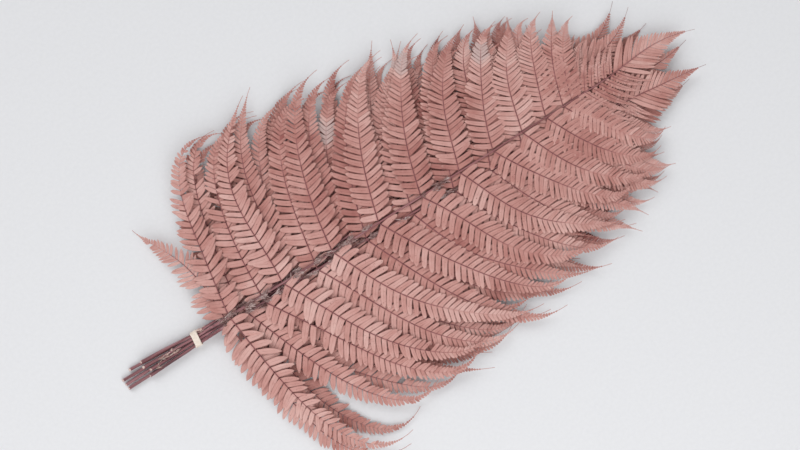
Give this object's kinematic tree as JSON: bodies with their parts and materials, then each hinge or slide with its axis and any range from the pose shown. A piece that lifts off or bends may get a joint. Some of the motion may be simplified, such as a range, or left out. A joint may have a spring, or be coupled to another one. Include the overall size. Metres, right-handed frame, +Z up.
{
  "type": "tied bunch of dried fern fronds",
  "caption": "Flat bunch of dried, dyed bipinnate fern fronds stacked in one outline, with cut stipes held by an elastic band.",
  "frame": {"origin": "middle of the band's flat foot, on the surface the bunch lies on", "axes": "+X along the stems to the fronds' tips, +Z up off the surface, +Y across the bunch to its left side seen from above"},
  "size_m": [0.6105, 0.333, 0.0197],
  "materials": {
    "dyed_leaf": "dry matt leaf, dusty pink dye with darker ribs and stipes",
    "elastic": "matt cream elastic with a fine weave"
  },
  "bodies": {
    "root": {"frond_1": "dyed_leaf", "frond_2": "dyed_leaf", "frond_3": "dyed_leaf", "frond_4": "dyed_leaf", "frond_5": "dyed_leaf", "frond_6": "dyed_leaf", "frond_7": "dyed_leaf", "frond_8": "dyed_leaf", "tie_band": "elastic"}
  },
  "joints": []
}
